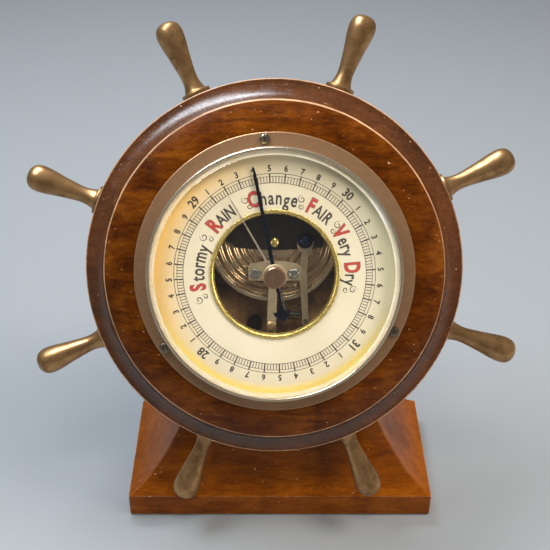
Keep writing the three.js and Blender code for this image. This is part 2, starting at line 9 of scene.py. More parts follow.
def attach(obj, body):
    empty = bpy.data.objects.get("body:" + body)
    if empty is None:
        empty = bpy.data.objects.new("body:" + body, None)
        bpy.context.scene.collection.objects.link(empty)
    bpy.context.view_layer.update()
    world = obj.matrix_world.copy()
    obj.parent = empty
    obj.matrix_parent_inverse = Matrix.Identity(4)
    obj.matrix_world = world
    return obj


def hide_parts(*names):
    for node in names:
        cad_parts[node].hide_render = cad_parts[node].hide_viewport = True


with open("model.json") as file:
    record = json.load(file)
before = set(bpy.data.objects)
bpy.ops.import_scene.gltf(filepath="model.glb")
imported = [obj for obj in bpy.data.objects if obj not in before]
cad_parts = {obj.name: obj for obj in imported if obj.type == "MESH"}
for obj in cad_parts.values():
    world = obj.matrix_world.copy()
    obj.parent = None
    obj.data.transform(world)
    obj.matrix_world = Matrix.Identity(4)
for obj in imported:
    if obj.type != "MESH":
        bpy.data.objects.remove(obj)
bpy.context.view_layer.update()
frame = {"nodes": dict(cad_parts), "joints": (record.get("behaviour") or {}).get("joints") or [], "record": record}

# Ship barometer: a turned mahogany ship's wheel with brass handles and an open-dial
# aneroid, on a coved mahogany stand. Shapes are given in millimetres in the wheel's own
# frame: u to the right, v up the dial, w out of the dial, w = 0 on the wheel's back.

MM = 0.001

# ---------------------------------------------------------------- the frame

JOINTS = {joint["name"]: joint for joint in frame["joints"]}
NORMAL = Vector(JOINTS["pointer_turn"]["axis"]).normalized()
RIGHT = Vector((1, 0, 0))
UP = NORMAL.cross(RIGHT)
POINTER_LEVEL = 32.0
CENTRE = Vector(JOINTS["pointer_turn"]["pos_m"]) - NORMAL * POINTER_LEVEL * MM
WHEEL = Matrix.Translation(CENTRE) @ Matrix((RIGHT, UP, NORMAL)).transposed().to_4x4()

ROOT = "stand_and_case"

# ---------------------------------------------------------------- driving dimensions

DIAL_CLOCK = 3.0          # degrees the dial is turned to the left
WHEEL_CLOCK = 1.6         # degrees the handles are turned to the left
HANDLE_DRIFT = [-0.9, -0.7, -0.6, 0.9, 0.6, 1.0, -0.4, -0.2]   # hand fitting, degrees clockwise
HANDLE_ANGLES = [22.5 + 45 * k - WHEEL_CLOCK + drift for k, drift in enumerate(HANDLE_DRIFT)]
HANDLE = {"level": 8.4, "length": 30.2, "flange": 5.7, "neck": 3.1, "ball": 5.25}
RIM = 73.0
RIM_ARRIS = 72.9          # the pale worn line round the wheel's front edge
STEP_ARRIS = 65.0         # the one between the moulding and the face
FACE_EDGE = 64.7
WHEEL_BORE = 46.2
WHEEL_FRONT = 29.5
STAND = {"width": 128.0, "depth": 61.0, "bottom": 0.6, "plinth": 11.4, "top": 64.0}
COVE = {"rise": 0.58, "curve": 0.032, "front": 0.55}
COUNTERBORE = {"u": 24, "v": -54, "radius": 4.6}
CAPSULE = {"v": 11.5, "radius": 26.4, "top": 14.4, "seam": 11.2, "flat": 8.8, "waves": 6,
           "depth": 0.95, "sheet": 0.4}
DIAL_TOP = 31.5
GLASS = {"hole": 1.4, "radius": 47.1, "flat": 44.6, "under": 34.4, "edge": 35.2, "top": 37.0}
SCREW_CIRCLE = 50.6       # radius of the circle of the flange's screws
POINTER = {"angle": -11.2, "length": 41.0, "tail": 18.2}
SET_HAND = {"angle": -30.0, "length": 36.0}


# ---------------------------------------------------------------- shader graphs

class Graph:
    """A material's nodes, written as expressions."""

    def __init__(self, name):
        self.material = bpy.data.materials.new(name)
        self.material.use_nodes = True
        self.tree = self.material.node_tree
        self.tree.nodes.clear()
        self.output = self.tree.nodes.new("ShaderNodeOutputMaterial")
        self.bsdf = self.tree.nodes.new("ShaderNodeBsdfPrincipled")
        self.link(self.bsdf.outputs[0], self.output.inputs["Surface"])
        self.place = self.node("ShaderNodeTexCoord").outputs["Object"]

    def node(self, kind, **settings):
        made = self.tree.nodes.new(kind)
        for key, value in settings.items():
            setattr(made, key, value)
        return made

    def link(self, source, target):
        self.tree.links.new(source, target)

    def feed(self, socket, value):
        if isinstance(value, bpy.types.NodeSocket):
            self.link(value, socket)
        else:
            socket.default_value = value

    def math(self, operation, a, b=0.0, clamp=False):
        made = self.node("ShaderNodeMath", operation=operation, use_clamp=clamp)
        self.feed(made.inputs[0], a)
        self.feed(made.inputs[1], b)
        return made.outputs[0]

    def stretched(self, scale, turn=(0, 0, 0)):
        made = self.node("ShaderNodeMapping")
        self.link(self.place, made.inputs["Vector"])
        made.inputs["Scale"].default_value = scale
        made.inputs["Rotation"].default_value = turn
        return made.outputs[0]

    def noise(self, scale, detail=3.0, rough=0.5, vector=None, distortion=0.0):
        made = self.node("ShaderNodeTexNoise")
        self.link(vector or self.place, made.inputs["Vector"])
        made.inputs["Scale"].default_value = scale
        made.inputs["Detail"].default_value = detail
        made.inputs["Roughness"].default_value = rough
        made.inputs["Distortion"].default_value = distortion
        return made.outputs["Fac"]

    def ramp(self, value, stops):
        made = self.node("ShaderNodeValToRGB")
        self.link(value, made.inputs[0])
        elements = made.color_ramp.elements
        while len(elements) < len(stops):
            elements.new(0.5)
        for element, (position, colour) in zip(elements, stops):
            element.position = position
            element.color = (*colour, 1)
        return made.outputs[0]

    def level(self, value, low, high, out_low=0.0, out_high=1.0):
        made = self.node("ShaderNodeMapRange")
        self.feed(made.inputs["Value"], value)
        limits = {"From Min": low, "From Max": high, "To Min": out_low, "To Max": out_high}
        for name, number in limits.items():
            made.inputs[name].default_value = number
        return made.outputs[0]

    def mix(self, factor, a, b):
        made = self.node("ShaderNodeMix", data_type="RGBA")
        self.feed(made.inputs[0], factor)
        for socket, value in ((made.inputs[6], a), (made.inputs[7], b)):
            if isinstance(value, bpy.types.NodeSocket):
                self.link(value, socket)
            else:
                socket.default_value = (*value, 1)
        return made.outputs[2]

    def radius(self):
        """Distance from the dial's axis, in metres, for pieces made in the wheel's frame."""
        flat = self.stretched((1, 1, 0))
        made = self.node("ShaderNodeVectorMath", operation="LENGTH")
        self.link(flat, made.inputs[0])
        return made.outputs["Value"]

    def edges(self, radius):
        """1 along sharp edges, 0 on flats: how far a rounded normal leans from the true one."""
        bevel = self.node("ShaderNodeBevel", samples=6)
        bevel.inputs["Radius"].default_value = radius
        true = self.node("ShaderNodeNewGeometry").outputs["Normal"]
        made = self.node("ShaderNodeVectorMath", operation="DOT_PRODUCT")
        self.link(bevel.outputs[0], made.inputs[0])
        self.link(true, made.inputs[1])
        return self.math("SUBTRACT", 1.0, made.outputs["Value"], clamp=True)

    def bump(self, height, distance, strength):
        made = self.node("ShaderNodeBump")
        made.inputs["Strength"].default_value = strength
        made.inputs["Distance"].default_value = distance
        self.link(height, made.inputs["Height"])
        self.link(made.outputs[0], self.bsdf.inputs["Normal"])

    def set(self, **values):
        for name, value in values.items():
            socket = self.bsdf.inputs[name.replace("_", " ")]
            if isinstance(value, tuple):
                value = (*value, 1)
            self.feed(socket, value)
        return self.material


def line_at(g, value, centre, width, soft):
    """1 within a narrow band of a value, fading out over soft."""
    away = g.math("ABSOLUTE", g.math("SUBTRACT", value, centre))
    return g.level(away, width + soft, width)


BARE_WOOD = (0.64, 0.37, 0.21)


def mahogany(name, tones, figure, gloss, turned_lines=False):
    """Polished mahogany in three tones, with ribbon figure, flecks, pores, specks and worn edges.

    turned_lines adds the pale worn arrises of the wheel's moulding, faded towards the wheel's right side as
    painted shade, and a deeper shine.
    """
    g = Graph(name)
    dark, middle, light = tones
    streaks = g.noise(330, 5, 0.62, g.stretched((0.22, 1, 1), (0, 0, 0.06)), 0.8)
    ribbon = g.noise(75, 3, 0.55, g.stretched((0.7, 0.5, 0.6)), 0.6)
    tone = g.math("ADD", g.math("MULTIPLY", streaks, 0.5), g.math("MULTIPLY", ribbon, 0.5))
    spread = 0.06 / figure
    colour = g.ramp(tone, [(max(0.0, 0.5 - 2 * spread), dark), (0.5, middle),
                           (min(1.0, 0.5 + 2.2 * spread), light)])
    flecks = g.level(g.noise(1300, 3, 0.65, g.stretched((0.25, 1, 1), (0, 0, 0.3)), 0.5), 0.50, 0.66)
    pores = g.level(g.noise(3400, 2, 0.5, g.stretched((0.06, 1, 1))), 0.60, 0.68)
    shade = tuple(c * 0.25 for c in dark)
    colour = g.mix(g.math("MULTIPLY", flecks, 0.38 * figure), colour, shade)
    colour = g.mix(g.math("MULTIPLY", pores, 0.5), colour, shade)
    patchy = g.noise(230, 4, 0.65)
    wear = g.math("MULTIPLY", g.level(g.edges(0.0008), 0.012, 0.10), g.level(patchy, 0.36, 0.56), clamp=True)
    if turned_lines:
        r = g.radius()
        wobble = g.math("MULTIPLY", g.math("SUBTRACT", g.noise(90, 3, 0.6), 0.5), 0.0007)
        near = g.math("ADD", r, wobble)
        strength = g.level(g.noise(60, 4, 0.7), 0.30, 0.60, 0.25, 1.0)
        axes = g.node("ShaderNodeSeparateXYZ")
        g.link(g.place, axes.inputs[0])
        # Painted shade: the worn arris lines fade towards the wheel's right side, away from the light.
        strength = g.math("MULTIPLY", strength, g.level(axes.outputs["X"], 0.050, 0.066, 1.0, 0.35))
        front_only = g.level(axes.outputs["Z"], 0.0192, 0.0197)
        strength = g.math("MULTIPLY", strength, front_only)
        step = g.math("MULTIPLY", line_at(g, near, STEP_ARRIS * MM, 0.00014, 0.00030), strength)
        rim = g.math("MULTIPLY", line_at(g, near, RIM_ARRIS * MM, 0.00014, 0.00024), strength)
        wear = g.math("MAXIMUM", wear, g.math("MAXIMUM", step, g.math("MULTIPLY", rim, 0.75)))
    colour = g.mix(g.math("MULTIPLY", wear, 0.85), colour, BARE_WOOD)
    specks = g.level(g.noise(1000, 1, 0.4), 0.765, 0.80)
    colour = g.mix(g.math("MULTIPLY", specks, 0.7), colour, (0.55, 0.36, 0.22))
    polish = g.level(g.noise(110, 4, 0.65), 0.3, 0.7, gloss - 0.05, gloss + 0.08)
    rough = g.math("ADD", polish, g.math("MULTIPLY", wear, 0.3))
    dents = g.noise(420, 2, 0.5)
    g.bump(g.math("ADD", g.math("MULTIPLY", pores, -0.5), g.math("MULTIPLY", dents, 0.5)), 0.00010, 0.45)
    g.bsdf.inputs["Specular IOR Level"].default_value = 0.62 if turned_lines else 0.16
    return g.set(Base_Color=colour, Roughness=rough)


def metal(name, colour, dirt, roughness, scale=260, tarnish=0.45, bump=0.00003, metallic=0.9, rubbed=0.5):
    """Aged metal: clouded tarnish, spots, rubbed edges and a fine rough grain."""
    g = Graph(name)
    cloud = g.noise(scale, 5, 0.62, distortion=0.4)
    spots = g.level(g.noise(scale * 5, 2, 0.5), 0.62, 0.72)
    mask = g.math("ADD", g.level(cloud, 0.42, 0.62, 0, tarnish), g.math("MULTIPLY", spots, 0.35), clamp=True)
    base = g.mix(mask, colour, dirt)
    rub = g.level(g.edges(0.0006), 0.02, 0.16, 0.0, rubbed)
    bright = tuple(min(1.0, c * 1.5 + 0.08) for c in colour)
    base = g.mix(rub, base, bright)
    rough = g.math("ADD", g.level(cloud, 0.3, 0.7, roughness - 0.07, roughness + 0.1),
                   g.math("MULTIPLY", spots, 0.12))
    grain = g.noise(1400, 2, 0.5)
    g.bump(g.math("ADD", grain, g.math("MULTIPLY", cloud, 0.6)), bump, 0.5)
    return g.set(Base_Color=base, Roughness=rough, Metallic=metallic)


def blued(name, strength=1.0):
    """Heat-blued steel, patchy and going purple in places."""
    g = Graph(name)
    cloud = g.noise(400, 4, 0.6)
    tones = [(0.007, 0.009, 0.016), (0.010, 0.016, 0.034), (0.030, 0.024, 0.034)]
    tones = [tuple(strength * c for c in tone) for tone in tones]
    base = g.ramp(cloud, [(0.35, tones[0]), (0.55, tones[1]), (0.7, tones[2])])
    g.bump(g.noise(2500, 2, 0.5, g.stretched((1, 0.1, 1))), 0.00002, 0.5)
    return g.set(Base_Color=base, Metallic=0.9, Roughness=g.level(cloud, 0.3, 0.7, 0.20, 0.36))


def japanned(name, dark, pale, dust=0.25):
    """Stoved varnish over steel, brownish, with specks of dust."""
    g = Graph(name)
    cloud = g.noise(120, 4, 0.6)
    base = g.mix(g.level(cloud, 0.35, 0.65), dark, pale)
    specks = g.level(g.noise(1500, 1, 0.4), 0.74, 0.78)
    base = g.mix(g.math("MULTIPLY", specks, dust), base, (0.35, 0.28, 0.20))
    g.bump(g.noise(1600, 2, 0.5), 0.00002, 0.4)
    return g.set(Base_Color=base, Metallic=0.2, Roughness=g.level(cloud, 0.3, 0.7, 0.26, 0.42))


def enamel(name):
    """The dial's cream paint, with painted light in it: orange on the left and yellow along its lower rim
    are a painted reflection of the brass inner wall, darker and greener at the top and upper right is a
    painted shadow of the bezel; it also goes paler and greener towards the right."""
    g = Graph(name)
    r = g.radius()
    cloud = g.noise(38, 4, 0.6, distortion=0.5)
    fine = g.noise(700, 4, 0.6)
    axes = g.node("ShaderNodeSeparateXYZ")
    g.link(g.place, axes.inputs[0])
    u, v = axes.outputs["X"], axes.outputs["Y"]
    outside = g.level(r, 0.034, 0.045)
    # Painted reflection of the dial's brass inner wall: the left of the outer band is tinted orange.
    leftward = g.math("SUBTRACT", g.math("MULTIPLY", v, 0.35), u)
    left = g.math("MULTIPLY", g.level(leftward, 0.010, 0.046), outside)
    colour = g.mix(g.level(cloud, 0.35, 0.65, 0.0, 0.5), (0.62, 0.555, 0.42), (0.58, 0.50, 0.34))
    colour = g.mix(g.math("MULTIPLY", left, 0.92), colour, (0.84, 0.49, 0.10))
    # Painted shadow of the bezel: the top and upper right of the outer band are darkened and greened.
    upward = g.math("ADD", g.math("MULTIPLY", u, 0.55), v)
    upper = g.math("MULTIPLY", g.level(upward, 0.020, 0.046), outside)
    colour = g.mix(g.math("MULTIPLY", upper, 0.30), colour, (0.36, 0.33, 0.15))
    right = g.math("MULTIPLY", g.level(u, 0.020, 0.046), outside)
    colour = g.mix(g.math("MULTIPLY", right, 0.40), colour, (0.68, 0.67, 0.36))
    # Painted reflection of the dial's brass inner wall: a yellow band along the lower rim.
    low = g.math("MULTIPLY", g.level(r, 0.0420, 0.0446), g.level(v, -0.010, -0.030))
    colour = g.mix(g.math("MULTIPLY", low, 0.85), colour, (0.78, 0.60, 0.11))
    colour = g.mix(g.level(fine, 0.55, 0.75, 0.0, 0.2), colour, (0.62, 0.48, 0.26))
    specks = g.level(g.noise(1100, 1, 0.4), 0.77, 0.80)
    colour = g.mix(g.math("MULTIPLY", specks, 0.5), colour, (0.30, 0.20, 0.10))
    g.bump(fine, 0.00002, 0.3)
    return g.set(Base_Color=colour, Roughness=g.level(fine, 0.3, 0.7, 0.40, 0.5))


def ink(name, colour):
    """Printing ink, faded in patches."""
    g = Graph(name)
    worn = g.noise(900, 3, 0.6)
    faded = tuple(c * 0.5 + 0.16 for c in colour)
    return g.set(Base_Color=g.mix(g.level(worn, 0.5, 0.75, 0, 0.45), colour, faded), Roughness=0.6)


def baize(name):
    """Green felted cloth."""
    g = Graph(name)
    fibres = g.noise(5200, 3, 0.7)
    g.bump(fibres, 0.0004, 0.9)
    colour = g.ramp(fibres, [(0.3, (0.010, 0.030, 0.014)), (0.7, (0.040, 0.090, 0.045))])
    return g.set(Base_Color=colour, Roughness=0.95)


def clear_glass(name):
    """Clear glass that lets shadow and diffuse rays straight through, with a painted refraction on its bevel."""
    g = Graph(name)
    smears = g.noise(60, 4, 0.6)
    g.set(Base_Color=(0.985, 0.995, 0.98), Roughness=g.level(smears, 0.4, 0.75, 0.0, 0.04), IOR=1.5)
    g.bsdf.inputs["Transmission Weight"].default_value = 1.0
    through = g.node("ShaderNodeBsdfTransparent")
    # Painted light: a pale cream diffuse on the bevel stands in for the bright image of the dial refracted there.
    painted_bevel_refraction = g.node("ShaderNodeBsdfDiffuse")
    bevel_band_noise = g.noise(90, 3, 0.6)
    g.link(g.mix(g.level(bevel_band_noise, 0.3, 0.7), (0.90, 0.82, 0.58), (0.93, 0.92, 0.85)), painted_bevel_refraction.inputs["Color"])
    beyond_flat = g.level(g.radius(), (GLASS["flat"] + 0.15) * MM, (GLASS["flat"] + 0.4) * MM)
    bevel = g.math("MULTIPLY", beyond_flat, g.level(bevel_band_noise, 0.3, 0.7, 0.34, 0.62))
    body = g.node("ShaderNodeMixShader")
    g.link(bevel, body.inputs[0])
    g.link(g.bsdf.outputs[0], body.inputs[1])
    g.link(painted_bevel_refraction.outputs[0], body.inputs[2])
    path = g.node("ShaderNodeLightPath")
    easy = g.math("MAXIMUM", path.outputs["Is Shadow Ray"], path.outputs["Is Diffuse Ray"])
    blend = g.node("ShaderNodeMixShader")
    g.link(easy, blend.inputs[0])
    g.link(body.outputs[0], blend.inputs[1])
    g.link(through.outputs[0], blend.inputs[2])
    g.link(blend.outputs[0], g.output.inputs["Surface"])
    return g.material


WOODS = {
    "mahogany": dict(figure=0.6, gloss=0.32, tones=(
        (0.076, 0.0172, 0.0009), (0.172, 0.042, 0.0015), (0.280, 0.077, 0.0035))),
    "mahogany_face": dict(figure=0.85, gloss=0.24, tones=(
        (0.032, 0.0068, 0.0003), (0.082, 0.0192, 0.0007), (0.150, 0.042, 0.0019))),
    "mahogany_cove": dict(figure=0.7, gloss=0.25, turned_lines=True, tones=(
        (0.032, 0.0100, 0.0025), (0.062, 0.0195, 0.0045), (0.094, 0.030, 0.0070))),
}
METALS = {
    "antique_brass": dict(colour=(0.43, 0.245, 0.105), dirt=(0.16, 0.080, 0.030), roughness=0.34,
                          scale=170, tarnish=0.6, metallic=0.85, rubbed=0.25),
    "bronzed_brass": dict(colour=(0.38, 0.215, 0.115), dirt=(0.22, 0.120, 0.062), roughness=0.38,
                          tarnish=0.3, metallic=0.7),
    "bezel_brass": dict(colour=(0.66, 0.54, 0.38), dirt=(0.44, 0.31, 0.19), roughness=0.28,
                        scale=90, tarnish=0.35, bump=0.00001),
    "bright_brass": dict(colour=(0.62, 0.44, 0.20), dirt=(0.32, 0.20, 0.08), roughness=0.28, tarnish=0.35),
    "gilt": dict(colour=(0.86, 0.64, 0.20), dirt=(0.55, 0.38, 0.09), roughness=0.26,
                 tarnish=0.3, bump=0.00001),
    "copper": dict(colour=(0.46, 0.27, 0.17), dirt=(0.24, 0.145, 0.09), roughness=0.26,
                   scale=110, tarnish=0.5),
    "capsule_brass": dict(colour=(0.80, 0.60, 0.38), dirt=(0.52, 0.36, 0.22), roughness=0.19,
                          scale=60, tarnish=0.3, bump=0.0000003, metallic=0.95),
    "olive_brass": dict(colour=(0.42, 0.33, 0.20), dirt=(0.25, 0.19, 0.115), roughness=0.36,
                        tarnish=0.4, metallic=0.6),
    "steel": dict(colour=(0.36, 0.34, 0.30), dirt=(0.19, 0.16, 0.13), roughness=0.20),
    "screw_metal": dict(colour=(0.24, 0.20, 0.14), dirt=(0.12, 0.09, 0.06), roughness=0.26),
    "set_brass": dict(colour=(0.60, 0.48, 0.36), dirt=(0.36, 0.27, 0.19), roughness=0.28, tarnish=0.25),
}
MATERIALS = {name: mahogany(name, **look) for name, look in WOODS.items()}
MATERIALS.update({name: metal(name, **look) for name, look in METALS.items()})
MATERIALS.update({
    "blued_steel": blued("blued_steel"),
    "blued_bright": blued("blued_bright", 3.2),
    "black_japan": japanned("black_japan", (0.010, 0.006, 0.003), (0.022, 0.013, 0.007)),
    "base_varnish": japanned("base_varnish", (0.16, 0.080, 0.030), (0.42, 0.235, 0.10), 0.1),
    "dial_enamel": enamel("dial_enamel"),
    "dial_ink": ink("dial_ink", (0.030, 0.022, 0.016)),
    "dial_red": ink("dial_red", (0.40, 0.030, 0.022)),
    "baize": baize("baize"),
    "glass": clear_glass("glass"),
})


# ---------------------------------------------------------------- meshes

def add_object(name, mesh, material, world=WHEEL):
    made = bpy.data.objects.new(name, mesh)
    bpy.context.scene.collection.objects.link(made)
    made.matrix_world = world
    mesh.materials.append(MATERIALS[material])
    return made


def to_mesh(name, made, sharp=35):
    """A bmesh in millimetres, turned into a smooth-shaded mesh in metres."""
    bmesh.ops.remove_doubles(made, verts=made.verts, dist=1e-5)
    bmesh.ops.recalc_face_normals(made, faces=made.faces)
    mesh = bpy.data.meshes.new(name)
    made.to_mesh(mesh)
    made.free()
    mesh.transform(Matrix.Scale(MM, 4))
    mesh.shade_smooth()
    mesh.set_sharp_from_angle(angle=math.radians(sharp))
    return mesh


def softened(profile, radius, steps=3, closed=True):
    """The same profile with each corner rounded off. A point may carry its own radius."""
    count = len(profile)
    result = []
    for i, point in enumerate(profile):
        here = Vector(point[:2])
        own = point[2] if len(point) > 2 else radius
        if (not closed and i in (0, count - 1)) or own == 0 or here.x < 1e-6:
            result.append(here)
            continue
        before = Vector(profile[i - 1][:2])
        after = Vector(profile[(i + 1) % count][:2])
        reach = min(own, (before - here).length * 0.45, (after - here).length * 0.45)
        start = here + (before - here).normalized() * reach
        end = here + (after - here).normalized() * reach
        for k in range(steps + 1):
            t = k / steps
            result.append(start * (1 - t) ** 2 + here * 2 * t * (1 - t) + end * t ** 2)
    return result


def turned(made, profile, segments=160, closed=True, placing=None):
    """Adds a body turned about +w from [radius, height] points to a bmesh."""
    rings = []
    for point in profile:
        if point[0] < 1e-6:
            rings.append([made.verts.new((0, 0, point[1]))])
            continue
        ring = []
        for k in range(segments):
            turn = 2 * math.pi * k / segments
            ring.append(made.verts.new((point[0] * math.cos(turn), point[0] * math.sin(turn), point[1])))
        rings.append(ring)
    pairs = list(zip(rings, rings[1:]))
    if closed:
        pairs.append((rings[-1], rings[0]))
    for low, high in pairs:
        if len(low) == 1 and len(high) == 1:
            continue
        for k in range(segments):
            j = (k + 1) % segments
            corners = [low[k % len(low)], low[j % len(low)], high[j % len(high)], high[k % len(high)]]
            unique = list(dict.fromkeys(corners))
            if len(unique) > 2:
                made.faces.new(unique)
    if placing is not None:
        fresh = [vert for ring in rings for vert in ring]
        bmesh.ops.transform(made, matrix=placing, verts=fresh)


def lathe(name, profile, material, segments=160, soft=0.0, closed=True, placing=None, sharp=35):
    made = bmesh.new()
    shape = softened(profile, soft, closed=closed) if soft else [Vector(p[:2]) for p in profile]
    turned(made, shape, segments, closed, placing)
    return add_object(name, to_mesh(name, made, sharp), material)


def clock_point(angle, radius):
    turn = math.radians(angle)
    return radius * math.sin(turn), radius * math.cos(turn)


def smooth_curve(points, steps):
    """A Catmull-Rom curve through [x, y] points."""
    padded = [points[0], *points, points[-1]]
    result = []
    for i in range(1, len(padded) - 2):
        p0, p1, p2, p3 = (Vector(p) for p in padded[i - 1:i + 3])
        for k in range(steps):
            t = k / steps
            result.append(0.5 * (2 * p1 + (p2 - p0) * t + (2 * p0 - 5 * p1 + 4 * p2 - p3) * t ** 2
                                 + (3 * p1 - p0 - 3 * p2 + p3) * t ** 3))
    result.append(Vector(points[-1]))
    return result


def stands_for(obj, nodes, body=ROOT):
    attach(obj, body)
    if nodes:
        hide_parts(*nodes)
    return obj


# ---------------------------------------------------------------- stand

def cove_height(setback):
    return STAND["plinth"] + COVE["rise"] * setback + COVE["curve"] * setback ** 2


def cove_setback(height):
    c = STAND["plinth"] - height
    return (-COVE["rise"] + math.sqrt(COVE["rise"] ** 2 - 4 * COVE["curve"] * c)) / (2 * COVE["curve"])


def wheel_back(height, gap=0.3):
    """How far forward the stand may come at a height before it meets the wheel's back."""
    v = (height - CENTRE.z / MM + gap * NORMAL.z) / UP.z
    return CENTRE.y / MM + v * UP.y - gap * NORMAL.y


def stand_ring(made, height, setback, corner):
    """One level of the stand: a rectangle with rounded corners."""
    right = STAND["width"] / 2 - setback
    front = -STAND["depth"] / 2 + COVE["front"] * setback
    back = -front
    if height > 20:
        front = max(front, wheel_back(height))
    ring = []
    for sx, sy, first in ((1, -1, -90), (1, 1, 0), (-1, 1, 90), (-1, -1, 180)):
        cx = sx * (right - corner)
        cy = back - corner if sy > 0 else front + corner
        for k in range(5):
            turn = math.radians(first + 90 * k / 4)
            ring.append(made.verts.new((cx + corner * math.cos(turn), cy + corner * math.sin(turn), height)))
    return ring


def build_stand():
    made = bmesh.new()
    edge = 0.5
    bottom, plinth, top = (STAND[key] for key in ("bottom", "plinth", "top"))
    levels = [(bottom, edge), (bottom + edge * 0.3, edge * 0.3), (bottom + edge, 0),
              (plinth - edge, 0), (plinth - edge * 0.1, edge * 0.12)]
    end = cove_setback(top - edge)
    steps = [0.4 + (end - 0.4) * k / 48 for k in range(49)]
    levels += [(cove_height(setback), setback) for setback in steps]
    levels += [(top - edge * 0.3, end + edge * 0.4), (top, end + edge)]
    rings = [stand_ring(made, height, setback, 0.55) for height, setback in levels]
    count = len(rings[0])
    for low, high in zip(rings, rings[1:]):
        for k in range(count):
            j = (k + 1) % count
            made.faces.new([low[k], low[j], high[j], high[k]])
    made.faces.new(list(reversed(rings[0])))
    made.faces.new(rings[-1])
    block = add_object("stand_wood", to_mesh("stand_wood", made, 28), "mahogany", Matrix.Identity(4))
    drills = bmesh.new()
    bore = COUNTERBORE["radius"]
    for side in (-1, 1):
        place = Matrix.Translation((side * COUNTERBORE["u"], COUNTERBORE["v"], 0))
        turned(drills, [(0, -60), (bore, -60), (bore, -22), (0, -22)], 48, False, place)
    drill = add_object("drill", to_mesh("drill", drills), "mahogany")
    cut = block.modifiers.new("cut", "BOOLEAN")
    cut.operation, cut.solver, cut.object = "DIFFERENCE", "EXACT", drill
    even = block.modifiers.new("even", "WEIGHTED_NORMAL")
    even.keep_sharp = True
    graph = bpy.context.evaluated_depsgraph_get()
    result = bpy.data.meshes.new_from_object(block.evaluated_get(graph))
    block.modifiers.clear()
    block.data = result
    bpy.data.objects.remove(drill)
    return block


stands_for(build_stand(), ["stand_block"])

# ---------------------------------------------------------------- wheel

COVE_SIDE = smooth_curve([
    (72.75, 20.0), (71.6, 20.08), (70.2, 20.45), (68.7, 21.2), (67.3, 22.3), (66.2, 23.7), (65.45, 25.1),
    (65.12, 26.15),
], 5)
FACE = smooth_curve([
    (FACE_EDGE, 26.5), (62.6, 27.35), (60.5, 28.05), (57.5, 28.9), (55.3, 29.3), (53.8, WHEEL_FRONT),
], 4)
wheel_profile = [(WHEEL_BORE, 0), (71.5, 0), (72.4, 0.4), (RIM, 1.5), (RIM, 19.55), (72.93, 19.85)]
wheel_profile += [*COVE_SIDE, (64.95, 26.38), *FACE, (WHEEL_BORE, WHEEL_FRONT)]
wheel = lathe("wheel_wood", wheel_profile, "mahogany_cove", 288, sharp=24)
wheel.data.materials.append(MATERIALS["mahogany_face"])
for face in wheel.data.polygons:
    on_face = face.center.xy.length < FACE_EDGE * MM and face.center.z > 20 * MM
    face.material_index = int(on_face)
stands_for(wheel, ["wheel_board"])


def handle_profile():
    flange, neck, ball, length = (HANDLE[key] for key in ("flange", "neck", "ball", "length"))
    disc = softened([
        (0, 0.3, 0), (flange, 0.3), (flange, 1.75), (flange * 0.76, 1.95), (flange * 0.7, 2.5),
    ], 0.3, 3, closed=False)
    club = smooth_curve([
        (neck * 1.22, 3.1), (neck * 1.1, 4.4), (neck, 6.6), (neck * 1.03, 9.2), (neck * 1.16, 12.4),
        (ball * 0.80, 16.8), (ball * 0.93, 20.8), (ball, 24.2), (ball * 0.975, 26.4), (ball * 0.84, 28.3),
        (ball * 0.55, 29.65), (ball * 0.25, length - 0.1), (0, length),
    ], 4)
    return [tuple(p) for p in disc] + [(max(0.0, p[0]), p[1]) for p in club]


for k, angle in enumerate(HANDLE_ANGLES):
    u, v = clock_point(angle, RIM)
    outward = (Matrix.Translation((u, v, HANDLE["level"])) @ Matrix.Rotation(math.radians(-angle), 4, "Z")
               @ Matrix.Rotation(math.radians(-90), 4, "X"))
    handle = lathe(f"brass_handle_{k + 1}", handle_profile(), "antique_brass", 56, closed=False,
                   placing=outward)
    stands_for(handle, [f"handle_{k + 1}"])

# ---------------------------------------------------------------- case, bezel and glass

stands_for(lathe("flange_fine", [
    (43.3, 29.8), (53.0, 29.8), (53.2, 30.0), (53.15, 30.35), (52.85, 30.6), (47.1, 30.6), (47.1, 33.2),
    (46.5, 33.2), (46.5, 30.6), (43.3, 30.6),
], "bronzed_brass", 256, soft=0.12), ["case_flange"])
stands_for(lathe("bezel_fine", [
    (47.4, 30.9), (48.0, 30.9), (48.0, 37.1, 0.4), (47.55, 37.8, 0.4), (46.9, 37.8, 0.3),
    (46.6, 37.5, 0.1), (46.6, 37.3, 0.1), (47.4, 37.3, 0.1),
], "bezel_brass", 256, soft=0.1), ["bezel_ring"])
stands_for(lathe("glass_fine", [
    (GLASS["hole"], GLASS["under"]), (GLASS["radius"], GLASS["under"]), (GLASS["radius"], GLASS["edge"]),
    (GLASS["flat"], GLASS["top"]), (GLASS["hole"], GLASS["top"]),
], "glass", 256, soft=0.06, sharp=20), ["glass"])

stands_for(lathe("dial_fine", [
    (23.7, 30.9), (45.7, 30.9), (45.7, DIAL_TOP), (23.7, DIAL_TOP),
], "dial_enamel", 256, soft=0.08), ["dial"])
stands_for(lathe("aperture_fine", [
    (22.7, 30.1), (23.4, 30.1), (23.4, 31.8), (24.6, 31.8), (24.55, 32.05, 0.2), (23.9, 32.15, 0.3),
    (23.2, 31.9, 0.3),
], "gilt", 192, soft=0.1), ["aperture_ring"])


